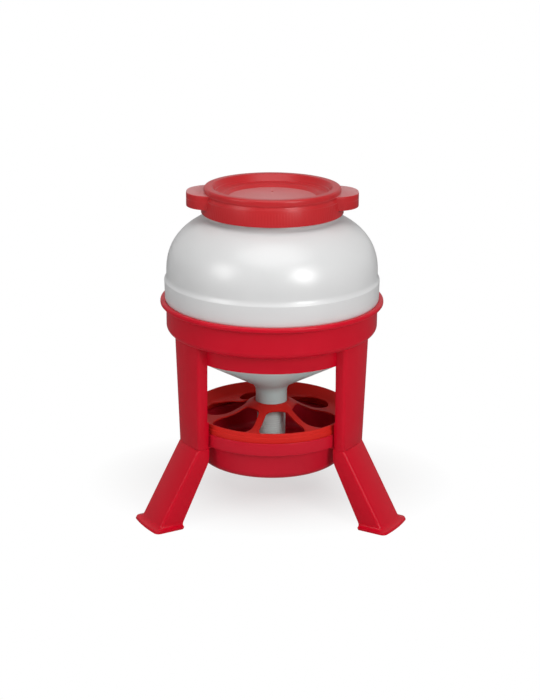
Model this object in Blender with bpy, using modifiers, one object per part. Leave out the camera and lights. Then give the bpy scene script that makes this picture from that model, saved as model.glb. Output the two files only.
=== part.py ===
"""Poultry feeder on three splayed feet, about 30 litres.

A blow-moulded hopper sits in a red holder whose three channel-shaped uprights
stand in plug-in feet. The feet carry a round pan, a dished grille wheel stands
in the pan, and a regulator tube in the hopper's spout sets how high the feed
rises in the pan. A screw lid with two ears closes the hopper.

Metres, +Z up. The origin is on the floor, on the feeder's upright axis, and
-Y is the front: one foot stands at the rear and two stand 60 degrees either
side of the front.
"""
import math

import bmesh
import bpy
from mathutils import Matrix, Vector

# Facets round the axis. A multiple of six keeps the three legs and six petals alike.
TURN_STEPS = 36
ARC_STEPS = 2

# Running gap between pieces that seat on each other
SEAT_GAP = 0.0003

# Pan: an upright belt over a deeper bowl with a low spreading cone
PAN_WALL = 0.0025
BELT_RADIUS = 0.158
BELT_HEIGHT = 0.025
PAN_STEP = 0.011
BOWL_DEPTH = 0.054
BOWL_DRAFT = 0.006
BOWL_ROUND = 0.018
CONE_RADIUS = 0.048
CONE_RISE = 0.014
CONE_ROUND = 0.008
PAN_ROUND = 0.0015

# Uprights: channels open toward the axis, narrower toward the foot, clear of the pan
LEG_AZIMUTHS = {"left": -60.0, "right": 60.0, "rear": 180.0}
UPRIGHT_LOW = 0.147
UPRIGHT_HEIGHT = 0.2028
UPRIGHT_CLEAR = 0.002
UPRIGHT_SET_IN = 0.011
UPRIGHT_DEPTH_TOP = 0.0255
UPRIGHT_DEPTH_LOW = 0.0227
UPRIGHT_HALF_TOP = 0.048
UPRIGHT_HALF_LOW = 0.040
UPRIGHT_WALL = 0.003
UPRIGHT_CORNER = 0.007

# Holder: rim, wall, ledge and the inner skirt that centres the hopper
HOLDER_WALL = 0.003
WALL_RADIUS = 0.199
WALL_HEIGHT = 0.0622
RIM_REACH = 0.011
RIM_DROP = 0.008
RIM_ROUND = 0.003
RIM_STEP_IN = 0.002
SEAT_FLARE_OUT = 0.0048
SEAT_FLARE_DROP = 0.009
LEDGE_WIDTH = 0.028
LEDGE_ROUND = 0.013
SKIRT_DEPTH = 0.0358
SKIRT_DRAFT = 0.0017

# Feet: a plug inside the upright, then a channel that splays out to the floor
PLUG_LENGTH = 0.053
PLUG_SET_IN = 0.004
PLUG_FIT = 0.0004
FOOT_WALL = 0.003
FOOT_BEND = 0.024
FOOT_SPLAY = math.radians(30.0)
FOOT_HALF_LOW = 0.039
FOOT_DEPTH_LOW = 0.0504
FLANGE_REACH = 0.0095
FLANGE_CORNER = 0.010
FLANGE_THICK = 0.005
FLANGE_FLARE = 0.012
SHELF_RISE = 0.003
SHELF_THICK = 0.003
SHELF_CLEAR = 0.002

# Grille wheel: a dished cone from its hub to a raised rim, with six petals cut out
GRILLE_WALL = 0.0025
GRILLE_FIT = 0.0005
HUB_RISE = 0.033
HUB_WIDTH = 0.0044
HUB_ROUND = 0.003
HUB_FIT = 0.0006
DISH_RISE = 0.024
DISH_SLOPE_RADIUS = 0.060
DISH_SLOPE_RISE = 0.0185
DISH_WAIST_RADIUS = 0.082
DISH_WAIST_RISE = 0.0075
DISH_WAIST_ROUND = 0.080
DISH_ROUND = 0.018
GRILLE_RIM_WIDTH = 0.0055
GRILLE_RIM_SLOPE = 0.0195
GRILLE_RIM_RISE = 0.0185
GRILLE_RIM_BAND = 0.0085
GRILLE_RIM_STEP_OUT = 0.0012
GRILLE_RIM_STEP_RISE = 0.0015
GRILLE_RIM_ROUND = 0.003
PETAL_COUNT = 6
PETAL_INNER = 0.050
PETAL_MARGIN = 0.009
PETAL_TURN = math.radians(-18.0)
SPOKE_WIDTH = 0.011
PETAL_ROUND_OUTER = 0.029
PETAL_ROUND_INNER = 0.010

# Hopper: neck, dome, belly band, seat in the holder, funnel and spout
HOPPER_WALL = 0.0024
NECK_RADIUS = 0.120
NECK_RISE = 0.0414
NECK_BLEND = 0.011
NECK_FOOT = 0.006
NECK_SPREAD = 0.013
DOME_SET_IN = 0.004
DOME_SPAN = 0.162
DOME_RISE = 0.1155
DOME_POWER = 2.3
DOME_LIFT = 0.0045
BAND_STAND_OUT = 0.003
BAND_DRAFT = 0.0008
BAND_HEIGHT = 0.0395
BAND_SLOPE = 0.0085
BAND_CLEAR = 0.002
BAND_ROUND = 0.0035
SPIGOT_ROUND = 0.004
SPIGOT_SET_IN = 0.0007
FUNNEL_SLOPE = math.radians(29.0)
SPOUT_RADIUS = 0.030
SPOUT_OVERLAP = 0.009
SPOUT_BLEND = 0.020

# Regulator tube in the spout, its foot clear of the cone
TUBE_WALL = 0.0024
TUBE_CLEAR = 0.0065
TUBE_LENGTH = 0.107
TUBE_CHAMFER = 0.001

# Lid: dished top, lip bead, flared skirt and two ears
LID_WALL = 0.0028
LID_CLEAR = 0.0017
LID_HEIGHT = 0.0481
LID_LIP_REACH = 0.0027
LID_LIP_WIDTH = 0.0157
LID_LIP_ROUND = 0.0045
LID_LIP_DEPTH = 0.0105
LID_GROOVE_DROP = 0.0135
LID_BEAD_ROUND = 0.0015
LID_SHOULDER_REACH = 0.004
LID_SHOULDER_DROP = 0.005
LID_SKIRT_FLARE = 0.004
LID_BOWL_SLOPE = 0.0075
LID_STEP_DROP = 0.0135
LID_STEP_WIDTH = 0.015
LID_WELL_DROP = 0.0068
LID_WELL_SLOPE = 0.008
LID_WELL_ROUND = 0.004
EAR_LENGTH = 0.027
EAR_HALF = 0.053
EAR_DROP = 0.0095
EAR_DEPTH = 0.026
EAR_ROUND = 0.038
EAR_WALL = 0.003

# Heights and radii that follow from the sizes above, from the floor up
BELT_LOW = UPRIGHT_LOW + SHELF_RISE
BELT_TOP = BELT_LOW + BELT_HEIGHT
BOWL_LOW = BELT_LOW - BOWL_DEPTH
BOWL_RADIUS_TOP = BELT_RADIUS - PAN_STEP
BOWL_RADIUS_LOW = BOWL_RADIUS_TOP - BOWL_DRAFT
SHELF_REACH = BOWL_RADIUS_TOP + SHELF_CLEAR

LEDGE_BOTTOM = UPRIGHT_LOW + UPRIGHT_HEIGHT
RIM_TOP = LEDGE_BOTTOM + WALL_HEIGHT
RIM_RADIUS = WALL_RADIUS + RIM_REACH
SEAT_RADIUS = WALL_RADIUS - HOLDER_WALL
SEAT_FLARE_RADIUS = SEAT_RADIUS + SEAT_FLARE_OUT
SKIRT_RADIUS_TOP = WALL_RADIUS - LEDGE_WIDTH
SKIRT_RADIUS_LOW = SKIRT_RADIUS_TOP - SKIRT_DRAFT
SKIRT_LOW = LEDGE_BOTTOM - SKIRT_DEPTH

UPRIGHT_INNER_LOW = BELT_RADIUS + UPRIGHT_CLEAR
UPRIGHT_RADIUS_LOW = UPRIGHT_INNER_LOW + UPRIGHT_DEPTH_LOW
UPRIGHT_RADIUS_TOP = WALL_RADIUS - UPRIGHT_SET_IN
UPRIGHT_INNER_TOP = UPRIGHT_RADIUS_TOP - UPRIGHT_DEPTH_TOP

PLUG_TOP = UPRIGHT_LOW + PLUG_LENGTH
PLUG_INNER = UPRIGHT_INNER_LOW - PLUG_SET_IN
FOOT_BEND_LOW = UPRIGHT_LOW - FOOT_BEND
FOOT_INNER_LOW = UPRIGHT_RADIUS_LOW + (UPRIGHT_LOW - SEAT_GAP) * math.tan(FOOT_SPLAY) - FOOT_DEPTH_LOW

GRILLE_RADIUS = BELT_RADIUS - PAN_WALL - GRILLE_FIT
GRILLE_RIM_INNER = GRILLE_RADIUS - GRILLE_RIM_WIDTH
DISH_RADIUS = GRILLE_RIM_INNER - GRILLE_RIM_SLOPE
DISH_LOW = BELT_LOW + DISH_RISE
DISH_WAIST = DISH_LOW + DISH_WAIST_RISE
DISH_SLOPE = DISH_LOW + DISH_SLOPE_RISE
GRILLE_RIM_TOP = DISH_LOW + GRILLE_RIM_RISE
GRILLE_RIM_STEP = GRILLE_RIM_TOP - GRILLE_RIM_BAND
HUB_TOP = DISH_LOW + HUB_RISE
HUB_HOLE = SPOUT_RADIUS + HUB_FIT
HUB_RADIUS = HUB_HOLE + HUB_WIDTH
PETAL_OUTER = DISH_RADIUS - PETAL_MARGIN

SPOUT_LOW = HUB_TOP - SPOUT_OVERLAP
BAND_RADIUS = WALL_RADIUS + BAND_STAND_OUT
BAND_SHOULDER = RIM_TOP + BAND_HEIGHT
BAND_TOP = BAND_SHOULDER + BAND_SLOPE
DOME_RADIUS = BAND_RADIUS - DOME_SET_IN
DOME_CENTRE = BAND_TOP + DOME_LIFT
DOME_START = NECK_RADIUS + NECK_SPREAD
NECK_TOP = DOME_CENTRE + DOME_RISE + NECK_RISE

TUBE_LOW = BOWL_LOW + CONE_RISE + PAN_WALL + TUBE_CLEAR
TUBE_TOP = TUBE_LOW + TUBE_LENGTH

LID_TOP = NECK_TOP + SEAT_GAP + LID_WALL
LID_GROOVE = LID_TOP - LID_GROOVE_DROP
LID_SHOULDER = LID_GROOVE - LID_SHOULDER_DROP
LID_SKIRT_LOW = LID_TOP - LID_HEIGHT
LID_STEP = LID_TOP - LID_STEP_DROP
LID_WELL = LID_STEP - LID_WELL_DROP
LID_GROOVE_RADIUS = NECK_RADIUS + LID_CLEAR + LID_WALL
LID_LIP_RADIUS = LID_GROOVE_RADIUS + LID_LIP_REACH
LID_LIP_INNER = LID_LIP_RADIUS - LID_LIP_WIDTH
LID_SHOULDER_RADIUS = LID_GROOVE_RADIUS + LID_SHOULDER_REACH
LID_SKIRT_RADIUS = LID_SHOULDER_RADIUS + LID_SKIRT_FLARE
LID_STEP_RADIUS = LID_LIP_INNER - LID_BOWL_SLOPE
LID_WELL_RADIUS = LID_STEP_RADIUS - LID_STEP_WIDTH
EAR_REACH = LID_SKIRT_RADIUS + EAR_LENGTH
EAR_TOP = LID_TOP - EAR_DROP
EAR_LOW = EAR_TOP - EAR_DEPTH


def clear_scene():
    for old in list(bpy.data.objects):
        bpy.data.objects.remove(old, do_unlink=True)


def moulded(name, colour, roughness):
    """Plain moulded plastic."""
    mat = bpy.data.materials.new(name)
    mat.use_nodes = True
    shader = mat.node_tree.nodes["Principled BSDF"]
    shader.inputs["Base Color"].default_value = (*colour, 1.0)
    shader.inputs["Roughness"].default_value = roughness
    shader.inputs["Metallic"].default_value = 0.0
    mat.diffuse_color = (*colour, 1.0)
    return mat


def rounded(corners, steps=ARC_STEPS):
    """Open outline through (u, v, radius) corners, each rounded by a true arc."""
    points = [Vector(corners[0][:2])]
    for before, corner, after in zip(corners, corners[1:], corners[2:]):
        here = Vector(corner[:2])
        back = Vector(before[:2]) - here
        ahead = Vector(after[:2]) - here
        if corner[2] <= 0.0:
            points.append(here)
            continue
        half = back.angle(ahead) / 2.0
        tangent = min(corner[2] / math.tan(half), 0.6 * min(back.length, ahead.length))
        radius = tangent * math.tan(half)
        middle = here + (back.normalized() + ahead.normalized()).normalized() * (radius / math.sin(half))
        start = here + back.normalized() * tangent - middle
        end = here + ahead.normalized() * tangent - middle
        sweep = start.angle_signed(end)
        count = max(1, round(steps * abs(sweep) / (math.pi / 2.0)))
        for step in range(count + 1):
            points.append(middle + Matrix.Rotation(-sweep * step / count, 2) @ start)
    points.append(Vector(corners[-1][:2]))
    return points


def arc(centre, radius, start, end, steps):
    """Points on an arc, angles measured from outward toward up."""
    angles = [start + (end - start) * step / steps for step in range(steps + 1)]
    return [Vector((centre[0] + radius * math.cos(a), centre[1] + radius * math.sin(a))) for a in angles]


def new_object(name, mesh, mat):
    obj = bpy.data.objects.new(name, mesh)
    FEEDER.objects.link(obj)
    if mat:
        obj.data.materials.append(mat)
    return obj


def turned(name, profile, mat, wall=0.0, closed=False, steps=TURN_STEPS):
    """Turn an (r, z) outline about the axis. An open one becomes a shell of the given wall."""
    mesh = bpy.data.meshes.new(name)
    edges = [(i, i + 1) for i in range(len(profile) - 1)]
    if closed:
        edges.append((len(profile) - 1, 0))
    mesh.from_pydata([(p[0], 0.0, p[1]) for p in profile], edges, [])
    obj = new_object(name, mesh, mat)
    screw = obj.modifiers.new("turn", "SCREW")
    screw.axis = "Z"
    screw.angle = 2.0 * math.pi
    screw.steps = steps
    screw.render_steps = steps
    screw.use_merge_vertices = True
    screw.merge_threshold = 0.00001
    if wall:
        shell = obj.modifiers.new("wall", "SOLIDIFY")
        shell.thickness = wall
        shell.offset = -1.0
        shell.use_even_offset = True
    return bake(obj)


def bake(obj):
    """Turn what the modifiers make into the object's own mesh."""
    graph = bpy.context.evaluated_depsgraph_get()
    mesh = bpy.data.meshes.new_from_object(obj.evaluated_get(graph))
    old = obj.data
    obj.modifiers.clear()
    obj.data = mesh
    bpy.data.meshes.remove(old)
    mesh.name = obj.name
    return obj


def prism(name, outline, low, high, mat=None):
    """Upright solid on a closed (x, y) outline given anticlockwise."""
    form = bmesh.new()
    base = form.faces.new([form.verts.new((p[0], p[1], low)) for p in outline])
    rise = bmesh.ops.extrude_face_region(form, geom=[base])
    moved = [item for item in rise["geom"] if isinstance(item, bmesh.types.BMVert)]
    bmesh.ops.translate(form, verts=moved, vec=(0.0, 0.0, high - low))
    bmesh.ops.recalc_face_normals(form, faces=form.faces)
    mesh = bpy.data.meshes.new(name)
    form.to_mesh(mesh)
    form.free()
    return new_object(name, mesh, mat)


def combine(obj, tool, operation):
    """Join the tool to the object, or cut it away, and delete the tool."""
    cut = obj.modifiers.new(operation.lower(), "BOOLEAN")
    cut.operation = operation
    cut.solver = "EXACT"
    cut.object = tool
    bake(obj)
    bpy.data.objects.remove(tool, do_unlink=True)
    return obj


def finish(obj):
    """Smooth shading with crisp edges."""
    obj.data.shade_smooth()
    obj.data.set_sharp_from_angle(angle=math.radians(35.0))
    return obj


def channel_outline(radius, half, inner, corner, arc_steps=4, corner_steps=3):
    """One side of a channel section: side wall, rounded corner, arc round the axis, and back."""
    corner = min(corner, 0.9 * half)
    middle = Vector((math.sqrt((radius - corner) ** 2 - (half - corner) ** 2), half - corner))
    turn = math.atan2(middle.y, middle.x)
    bend = arc(middle, corner, math.pi / 2.0, turn, corner_steps)
    face = arc((0.0, 0.0), radius, turn, -turn, arc_steps)[1:-1]
    mirrored = [Vector((p.x, -p.y)) for p in reversed(bend)]
    return [Vector((inner, half)), *bend, *face, *mirrored, Vector((inner, -half))]


def channel(name, levels, azimuth, mat):
    """Loft a channel through levels of (z, outer radius, half width, inner edge, corner, wall, reach).

    Reach pushes only the outer skin outward, as a flange does, and opens its corners a little.
    """
    form = bmesh.new()
    skins = []
    for z, radius, half, inner, corner, wall, reach in levels:
        outer_corner = corner + (FLANGE_CORNER - UPRIGHT_CORNER) * reach / FLANGE_REACH
        outside = channel_outline(radius + reach, half + reach, inner, outer_corner)
        inside = channel_outline(radius - wall, half - wall, inner, max(corner - wall, 0.001))
        skins.append([[form.verts.new((p.x, p.y, z)) for p in line] for line in (outside, inside)])
    last = len(skins[0][0]) - 1
    for (upper_out, upper_in), (lower_out, lower_in) in zip(skins, skins[1:]):
        for i in range(last):
            form.faces.new((upper_out[i], upper_out[i + 1], lower_out[i + 1], lower_out[i]))
            form.faces.new((lower_in[i], lower_in[i + 1], upper_in[i + 1], upper_in[i]))
        form.faces.new((upper_out[0], lower_out[0], lower_in[0], upper_in[0]))
        form.faces.new((upper_in[last], lower_in[last], lower_out[last], upper_out[last]))
    for outside, inside in (skins[0], skins[-1]):
        for i in range(last):
            form.faces.new((outside[i], inside[i], inside[i + 1], outside[i + 1]))
    bmesh.ops.recalc_face_normals(form, faces=form.faces)
    form.transform(Matrix.Rotation(math.radians(azimuth) - math.pi / 2.0, 4, "Z"))
    mesh = bpy.data.meshes.new(name)
    form.to_mesh(mesh)
    form.free()
    return new_object(name, mesh, mat)


def upright_at(z):
    """Outer radius, half width and inner edge of an upright at a height."""
    share = (z - UPRIGHT_LOW) / (LEDGE_BOTTOM - UPRIGHT_LOW)
    radius = UPRIGHT_RADIUS_LOW + (UPRIGHT_RADIUS_TOP - UPRIGHT_RADIUS_LOW) * share
    half = UPRIGHT_HALF_LOW + (UPRIGHT_HALF_TOP - UPRIGHT_HALF_LOW) * share
    inner = UPRIGHT_INNER_LOW + (UPRIGHT_INNER_TOP - UPRIGHT_INNER_LOW) * share
    return radius, half, inner


def make_holder(mat):
    """Ring with its rolled rim, ledge, inner skirt and the three uprights, one moulding."""
    rim_low = RIM_TOP - RIM_DROP
    ledge_top = LEDGE_BOTTOM + HOLDER_WALL
    inner_round = LEDGE_ROUND - HOLDER_WALL
    outside = rounded([
        (SEAT_FLARE_RADIUS, RIM_TOP, 0.0),
        (RIM_RADIUS, RIM_TOP, RIM_ROUND),
        (RIM_RADIUS, rim_low, RIM_ROUND),
        (WALL_RADIUS, rim_low - RIM_STEP_IN, RIM_STEP_IN),
        (WALL_RADIUS, LEDGE_BOTTOM, LEDGE_ROUND),
        (SKIRT_RADIUS_TOP, LEDGE_BOTTOM, 0.0),
        (SKIRT_RADIUS_LOW, SKIRT_LOW, 0.0),
    ])
    inside = rounded([
        (SKIRT_RADIUS_LOW - HOLDER_WALL, SKIRT_LOW, 0.0),
        (SKIRT_RADIUS_TOP - HOLDER_WALL, ledge_top, 0.0),
        (SEAT_RADIUS, ledge_top, inner_round),
        (SEAT_RADIUS, RIM_TOP - SEAT_FLARE_DROP, 0.0),
        (SEAT_FLARE_RADIUS, RIM_TOP, 0.0),
    ])
    holder = turned("holder", outside + inside[:-1], mat, closed=True)
    top = LEDGE_BOTTOM + HOLDER_WALL / 2.0
    for side, azimuth in LEG_AZIMUTHS.items():
        levels = [(z, *upright_at(z), UPRIGHT_CORNER, UPRIGHT_WALL, 0.0) for z in (top, UPRIGHT_LOW)]
        combine(holder, channel("upright_" + side, levels, azimuth, None), "UNION")
    return finish(holder)


def make_foot(side, azimuth, mat):
    """Plug, splayed channel, floor flange and the shelf that carries the pan."""
    inset = UPRIGHT_WALL + PLUG_FIT
    shoulder = UPRIGHT_LOW - SEAT_GAP
    levels = []
    for z in (PLUG_TOP, UPRIGHT_LOW + inset / 4.0):
        radius, half, _ = upright_at(z)
        corner = UPRIGHT_CORNER - inset
        levels.append((z, radius - inset, half - inset, PLUG_INNER, corner, FOOT_WALL, 0.0))
    radius, half, _ = upright_at(UPRIGHT_LOW)
    plug_wall = inset + FOOT_WALL
    levels.append((shoulder, radius - inset, half - inset, PLUG_INNER, UPRIGHT_CORNER - inset, FOOT_WALL, 0.0))
    levels.append((shoulder - 0.0005, radius, half, PLUG_INNER, UPRIGHT_CORNER, plug_wall, 0.0))

    def splayed(z, reach):
        drop = shoulder - z
        share = max(0.0, (FOOT_BEND_LOW - z) / FOOT_BEND_LOW)
        outer = radius + drop * math.tan(FOOT_SPLAY)
        width = half + (FOOT_HALF_LOW - half) * drop / shoulder
        inner = PLUG_INNER + (FOOT_INNER_LOW - PLUG_INNER) * share
        return (z, outer, width, inner, UPRIGHT_CORNER, FOOT_WALL, reach)

    levels.append(splayed(FOOT_BEND_LOW, 0.0))
    for step in range(3):
        share = step / 3.0
        rise = FLANGE_THICK + FLANGE_FLARE * (1.0 - share) ** 2
        levels.append(splayed(rise, FLANGE_REACH * share ** 2))
    levels.append(splayed(FLANGE_THICK, FLANGE_REACH))
    levels.append(splayed(0.0, FLANGE_REACH))
    foot = channel("foot_" + side, levels, azimuth, mat)

    shelf_top = BELT_LOW - SEAT_GAP
    reach_in = SHELF_REACH
    half_in = half - inset - FOOT_WALL / 2.0
    back = radius - inset - FOOT_WALL / 2.0
    turn_in = math.asin(half_in / reach_in)
    turn_out = math.asin(half_in / back)
    outline = arc((0.0, 0.0), reach_in, turn_in, -turn_in, 6)
    outline += arc((0.0, 0.0), back, -turn_out, turn_out, 6)
    shelf = prism("shelf", outline, shelf_top - SHELF_THICK, shelf_top)
    shelf.data.transform(Matrix.Rotation(math.radians(azimuth) - math.pi / 2.0, 4, "Z"))
    return finish(combine(foot, shelf, "UNION"))


def make_pan(mat):
    """Belt, step that lands on the feet's shelves, bowl, and the spreading cone in its floor."""
    profile = rounded([
        (BELT_RADIUS, BELT_TOP, 0.0),
        (BELT_RADIUS, BELT_LOW, PAN_ROUND),
        (BOWL_RADIUS_TOP, BELT_LOW, 0.0),
        (BOWL_RADIUS_LOW, BOWL_LOW, BOWL_ROUND),
        (CONE_RADIUS, BOWL_LOW, CONE_ROUND),
        (0.0, BOWL_LOW + CONE_RISE, 0.0),
    ])
    return finish(turned("pan", profile, mat, wall=PAN_WALL))


def petal_outline():
    """Petal between two spokes of even width, generously rounded toward the rim."""
    half_pitch = math.pi / PETAL_COUNT
    spoke_shift = SPOKE_WIDTH / 2.0 / math.cos(half_pitch)

    def half_width(along):
        return along * math.tan(half_pitch) - spoke_shift

    inner = PETAL_INNER * math.cos(half_pitch) + SPOKE_WIDTH / 4.0
    corners = [
        (PETAL_OUTER, 0.0, 0.0),
        (PETAL_OUTER, half_width(PETAL_OUTER), PETAL_ROUND_OUTER),
        (inner, half_width(inner), PETAL_ROUND_INNER),
        (inner, -half_width(inner), PETAL_ROUND_INNER),
        (PETAL_OUTER, -half_width(PETAL_OUTER), PETAL_ROUND_OUTER),
        (PETAL_OUTER, 0.0, 0.0),
    ]
    return rounded(corners, steps=4)[:-1]


def make_grille(mat):
    """Wheel that keeps the birds from scooping feed out. Its rim stands on the pan's step."""
    profile = rounded([
        (HUB_HOLE, HUB_TOP, 0.0),
        (HUB_RADIUS, HUB_TOP, HUB_ROUND),
        (DISH_SLOPE_RADIUS, DISH_SLOPE, 0.0),
        (DISH_WAIST_RADIUS, DISH_WAIST, DISH_WAIST_ROUND),
        (DISH_RADIUS, DISH_LOW, DISH_ROUND),
        (GRILLE_RIM_INNER, GRILLE_RIM_TOP, GRILLE_RIM_ROUND),
        (GRILLE_RADIUS - GRILLE_RIM_STEP_OUT, GRILLE_RIM_TOP, GRILLE_RIM_ROUND),
        (GRILLE_RADIUS - GRILLE_RIM_STEP_OUT, GRILLE_RIM_STEP + GRILLE_RIM_STEP_RISE, 0.0),
        (GRILLE_RADIUS, GRILLE_RIM_STEP, 0.0),
        (GRILLE_RADIUS, BELT_LOW + PAN_WALL + SEAT_GAP, 0.0),
    ], steps=3)
    grille = turned("grille", profile, mat, wall=GRILLE_WALL)
    outline = petal_outline()
    for number in range(PETAL_COUNT):
        cutter = prism("petal", outline, BELT_LOW, HUB_TOP + HUB_RADIUS)
        turn = PETAL_TURN + number * 2.0 * math.pi / PETAL_COUNT
        cutter.data.transform(Matrix.Rotation(turn, 4, "Z"))
        combine(grille, cutter, "DIFFERENCE")
    return finish(grille)


def dome_outline(steps):
    """Full-shouldered dome from beside the neck down to the belly, squarer than a circle."""
    core = DOME_RADIUS - DOME_SPAN
    power = 2.0 / DOME_POWER
    start = math.acos(((DOME_START - core) / DOME_SPAN) ** (1.0 / power))
    points = []
    for step in range(steps + 1):
        angle = start * (1.0 - step / steps)
        across = DOME_SPAN * math.cos(angle) ** power
        points.append(Vector((core + across, DOME_CENTRE + DOME_RISE * math.sin(angle) ** power)))
    return points


def make_hopper(mat):
    """Blow-moulded body, open at its neck and at its spout."""
    dome = dome_outline(6)
    flare = Vector((SEAT_FLARE_DROP, SEAT_FLARE_OUT)).normalized() * SEAT_GAP
    body_radius = SEAT_RADIUS - SEAT_GAP
    ledge = LEDGE_BOTTOM + HOLDER_WALL + SEAT_GAP
    spigot_top = SKIRT_RADIUS_TOP - HOLDER_WALL - 2.0 * SEAT_GAP
    spigot_low = SKIRT_RADIUS_LOW - HOLDER_WALL - 2.0 * SEAT_GAP
    funnel_top = SKIRT_LOW - SPIGOT_SET_IN
    funnel_low = funnel_top - (spigot_low - SPOUT_RADIUS) * math.tan(FUNNEL_SLOPE)
    neck = rounded([
        (NECK_RADIUS, NECK_TOP, 0.0),
        (NECK_RADIUS, dome[0].y + NECK_FOOT, NECK_BLEND),
        (dome[0].x, dome[0].y, 0.0),
    ])
    lower = rounded([
        (DOME_RADIUS, DOME_CENTRE, 0.0),
        (DOME_RADIUS, BAND_TOP, BAND_ROUND),
        (BAND_RADIUS, BAND_SHOULDER, BAND_ROUND),
        (BAND_RADIUS - BAND_DRAFT, RIM_TOP + BAND_CLEAR, 0.0),
        (SEAT_FLARE_RADIUS - flare.x, RIM_TOP + flare.y, 0.0),
        (body_radius, RIM_TOP - SEAT_FLARE_DROP, 0.0),
        (body_radius, ledge, LEDGE_ROUND - HOLDER_WALL - SEAT_GAP),
        (spigot_top, ledge, 0.0),
        (spigot_low, funnel_top, SPIGOT_ROUND),
        (SPOUT_RADIUS, funnel_low, SPOUT_BLEND),
        (SPOUT_RADIUS, SPOUT_LOW, 0.0),
    ])
    profile = neck[:-1] + dome[:-1] + lower
    return finish(turned("hopper", profile, mat, wall=HOPPER_WALL))


def make_regulator(mat):
    """Tube that screws in the spout and sets the feed level."""
    outer = SPOUT_RADIUS - HOPPER_WALL - SEAT_GAP
    inner = outer - TUBE_WALL
    profile = [Vector(p) for p in (
        (outer, TUBE_TOP),
        (outer, TUBE_LOW + TUBE_CHAMFER),
        (outer - TUBE_CHAMFER, TUBE_LOW),
        (inner, TUBE_LOW),
        (inner, TUBE_TOP),
    )]
    return finish(turned("regulator_tube", profile, mat, closed=True))


def ear_outline(reach, half, corner, root):
    """Plan of an ear pointing along +X, from inside the lid's wall outward."""
    return rounded([
        (root, -half, 0.0),
        (reach, -half, corner),
        (reach, half, corner),
        (root, half, 0.0),
    ])


def make_lid(mat):
    """Dished screw lid. Two hollow ears give the grip to turn it."""
    profile = rounded([
        (0.0, LID_WELL, 0.0),
        (LID_WELL_RADIUS - LID_WELL_SLOPE, LID_WELL, LID_WELL_ROUND),
        (LID_WELL_RADIUS, LID_STEP, LID_WELL_ROUND),
        (LID_STEP_RADIUS, LID_STEP, LID_WELL_ROUND),
        (LID_LIP_INNER, LID_TOP, LID_LIP_ROUND),
        (LID_LIP_RADIUS, LID_TOP, LID_LIP_ROUND),
        (LID_LIP_RADIUS, LID_TOP - LID_LIP_DEPTH, LID_BEAD_ROUND),
        (LID_GROOVE_RADIUS, LID_GROOVE, 0.0),
        (LID_SHOULDER_RADIUS, LID_SHOULDER, LID_BEAD_ROUND),
        (LID_SKIRT_RADIUS, LID_SKIRT_LOW, 0.0),
    ])
    lid = turned("lid", profile, mat, wall=LID_WALL)
    inside_wall = LID_GROOVE_RADIUS - LID_WALL / 2.0
    root = math.sqrt(inside_wall ** 2 - EAR_HALF ** 2)
    for turn in (0.0, math.pi):
        spin = Matrix.Rotation(turn, 4, "Z")
        ear = prism("ear", ear_outline(EAR_REACH, EAR_HALF, EAR_ROUND, root), EAR_LOW, EAR_TOP)
        pocket_plan = ear_outline(
            EAR_REACH - EAR_WALL, EAR_HALF - EAR_WALL, EAR_ROUND - EAR_WALL, root - 2.0 * EAR_WALL)
        pocket = prism("pocket", pocket_plan, EAR_LOW - EAR_WALL, EAR_TOP - EAR_WALL)
        low, high = EAR_LOW - 2.0 * EAR_WALL, EAR_TOP + 2.0 * EAR_WALL
        bore_outline = [(inside_wall, high), (inside_wall, low), (0.0, low), (0.0, high)]
        bore = turned("bore", [Vector(p) for p in bore_outline], None, closed=True)
        ear.data.transform(spin)
        pocket.data.transform(spin)
        combine(ear, pocket, "DIFFERENCE")
        combine(ear, bore, "DIFFERENCE")
        combine(lid, ear, "UNION")
    return finish(lid)


clear_scene()
FEEDER = bpy.data.collections.new("poultry_feeder")
bpy.context.scene.collection.children.link(FEEDER)

RED = moulded("red_polypropylene", (0.52, 0.012, 0.030), 0.32)
LID_RED = moulded("lid_red_polypropylene", (0.56, 0.022, 0.026), 0.34)
ORANGE_RED = moulded("grille_red_polypropylene", (0.62, 0.035, 0.020), 0.34)
WHITE = moulded("white_polyethylene", (0.80, 0.81, 0.80), 0.30)
GREY = moulded("grey_white_polypropylene", (0.62, 0.65, 0.63), 0.36)

make_holder(RED)
for leg_side, leg_azimuth in LEG_AZIMUTHS.items():
    make_foot(leg_side, leg_azimuth, RED)
make_pan(RED)
make_grille(ORANGE_RED)
make_hopper(WHITE)
make_regulator(GREY)
make_lid(LID_RED)
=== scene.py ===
"""Looks for the poultry feeder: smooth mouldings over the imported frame, plastics, light and camera."""
import math

import bmesh
import bpy
from mathutils import Matrix, Vector


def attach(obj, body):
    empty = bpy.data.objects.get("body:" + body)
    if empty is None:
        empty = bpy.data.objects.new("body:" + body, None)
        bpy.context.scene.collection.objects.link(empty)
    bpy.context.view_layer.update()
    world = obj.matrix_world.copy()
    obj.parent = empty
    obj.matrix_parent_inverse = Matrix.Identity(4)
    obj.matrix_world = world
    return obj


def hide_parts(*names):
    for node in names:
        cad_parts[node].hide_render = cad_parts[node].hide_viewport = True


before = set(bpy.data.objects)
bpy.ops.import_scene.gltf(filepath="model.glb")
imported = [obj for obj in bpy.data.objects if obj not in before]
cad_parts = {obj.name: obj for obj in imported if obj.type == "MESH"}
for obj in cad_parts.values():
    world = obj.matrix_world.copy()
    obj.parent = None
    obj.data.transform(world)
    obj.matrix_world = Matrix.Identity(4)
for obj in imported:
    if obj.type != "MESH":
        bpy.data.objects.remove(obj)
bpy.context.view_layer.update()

# Fineness of the meshes. A point nearer to the axis than ON_AXIS lies on it
TURN_STEPS = 192
ARC_STEP = 0.0014
ARC_STEPS_LEAST = 3
ARC_STEPS_MOST = 24
CORNER_SHARE = 0.6
ROUND_LEAST = 0.0004
MITRE_LEAST = 0.3
NEARLY_STRAIGHT = math.radians(89.5)
ON_AXIS = 0.000001
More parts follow.
